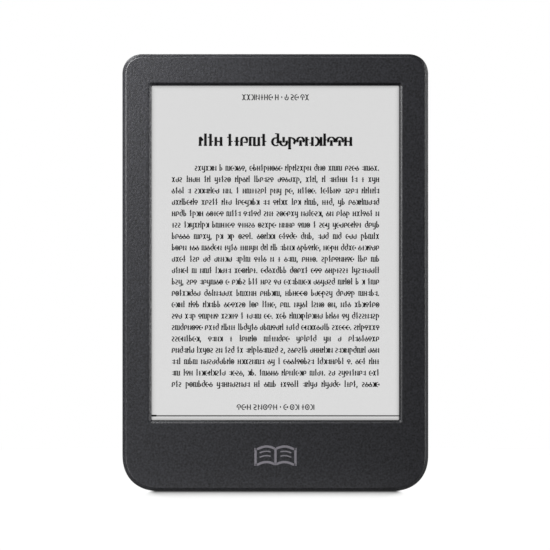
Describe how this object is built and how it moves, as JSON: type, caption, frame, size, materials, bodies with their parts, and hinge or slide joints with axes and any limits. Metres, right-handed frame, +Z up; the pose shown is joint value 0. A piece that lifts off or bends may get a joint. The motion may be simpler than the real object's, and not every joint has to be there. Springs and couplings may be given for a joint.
{
  "type": "e-reader",
  "caption": "Hand-held e-paper reader: dark plastic slab with a recessed 4:3 screen, deeper chin, rounded corners, rear power button and USB-C port below.",
  "frame": {"origin": "middle of the bottom edge, at half the body's thickness", "axes": "+Z up the body from the chin to the top edge, +X to the reader's right, the screen faces -Y and the back cover +Y"},
  "size_m": [0.112, 0.0092, 0.16],
  "materials": {
    "shell_plastic": "very fine moulded grain, near-black",
    "cover_plastic": "fine moulded grain, near-black",
    "clear_plastic": "clear, optically flat, anti-glare front",
    "paper_film": "matt light grey, printed with a page of text",
    "backplane_glass": "thin polished glass",
    "black_tape": "thin matt black foam tape",
    "flex_polyimide": "amber flexible printed circuit",
    "stamped_steel": "bright tinned sheet",
    "frame_alloy": "matt die-cast and stamped light alloy",
    "board_green": "green solder mask",
    "chip_epoxy": "moulded black epoxy",
    "connector_nylon": "natural nylon",
    "latch_nylon": "black nylon",
    "cell_pouch": "satin laminated pouch",
    "led_lens": "milky lens",
    "wire_red": "red insulation",
    "wire_black": "black insulation",
    "magnet_nickel": "nickel plated",
    "screw_steel": "black zinc"
  },
  "bodies": {
    "reader": {"front_bezel": "shell_plastic", "back_cover": "cover_plastic", "usb_c_shell": "stamped_steel", "usb_c_tongue": "chip_epoxy", "screen_gasket": "black_tape", "touch_panel": "clear_plastic", "light_guide": "clear_plastic", "epaper_film": "paper_film", "tft_backplane": "backplane_glass", "display_driver_ic": "chip_epoxy", "display_adhesive": "black_tape", "frontlight_led_strip": "flex_polyimide", "display_flex": "flex_polyimide", "touch_flex": "flex_polyimide", "touch_controller_ic": "chip_epoxy", "mid_frame": "frame_alloy", "battery_adhesive": "black_tape", "battery_adhesive_lower": "black_tape", "battery_cell": "cell_pouch", "battery_protection_board": "board_green", "battery_socket": "connector_nylon", "battery_plug": "connector_nylon", "battery_wire_red": "wire_red", "battery_wire_black": "wire_black", "main_board": "board_green", "shield_can": "stamped_steel", "processor": "chip_epoxy", "memory_chip": "chip_epoxy", "power_ic": "chip_epoxy", "epaper_power_ic": "chip_epoxy", "power_inductor": "chip_epoxy", "boost_inductor": "chip_epoxy", "wifi_module": "stamped_steel", "chip_antenna": "connector_nylon", "hall_sensor": "chip_epoxy", "status_led": "led_lens", "microsd_slot": "stamped_steel", "tact_switch": "stamped_steel", "cover_magnet_upper": "magnet_nickel", "cover_magnet_lower": "magnet_nickel", "display_connector": "connector_nylon", "touch_connector": "connector_nylon", "frontlight_connector": "connector_nylon", "frame_screw_1": "screw_steel", "frame_screw_2": "screw_steel", "frame_screw_3": "screw_steel", "frame_screw_4": "screw_steel", "frame_screw_5": "screw_steel", "frame_screw_6": "screw_steel", "board_screw_1": "screw_steel", "board_screw_2": "screw_steel", "board_screw_3": "screw_steel", "board_screw_4": "screw_steel"},
    "power_button": {"power_button": "cover_plastic", "button_light_pipe": "clear_plastic"},
    "switch_plunger": {"switch_plunger": "latch_nylon"},
    "display_latch": {"display_latch": "latch_nylon"},
    "touch_latch": {"touch_latch": "latch_nylon"},
    "frontlight_latch": {"frontlight_latch": "latch_nylon"},
    "microsd_card": {"microsd_card": "chip_epoxy"}
  },
  "joints": [
    {"name": "power_button_press", "type": "slide", "parent": "reader", "child": "power_button", "axis": [0, -1, 0], "range_m": [0, 0.0003]},
    {"name": "switch_plunger_press", "type": "slide", "parent": "reader", "child": "switch_plunger", "axis": [0, -1, 0], "range_m": [0, 0.0003]},
    {"name": "display_latch_flip", "type": "hinge", "parent": "reader", "child": "display_latch", "pos_m": [0.023, 0.00172, 0.02098], "axis": [1, 0, 0], "range_deg": [0, 90]},
    {"name": "touch_latch_flip", "type": "hinge", "parent": "reader", "child": "touch_latch", "pos_m": [-0.017, 0.00172, 0.02098], "axis": [1, 0, 0], "range_deg": [0, 90]},
    {"name": "frontlight_latch_flip", "type": "hinge", "parent": "reader", "child": "frontlight_latch", "pos_m": [-0.0263, 0.00172, 0.02098], "axis": [1, 0, 0], "range_deg": [0, 90]},
    {"name": "microsd_card_slide", "type": "slide", "parent": "reader", "child": "microsd_card", "axis": [0, 0, 1], "range_m": [0, 0.012]}
  ],
  "couplings": [
    {"joint": "switch_plunger_press", "follows": "power_button_press", "ratio": 1}
  ]
}
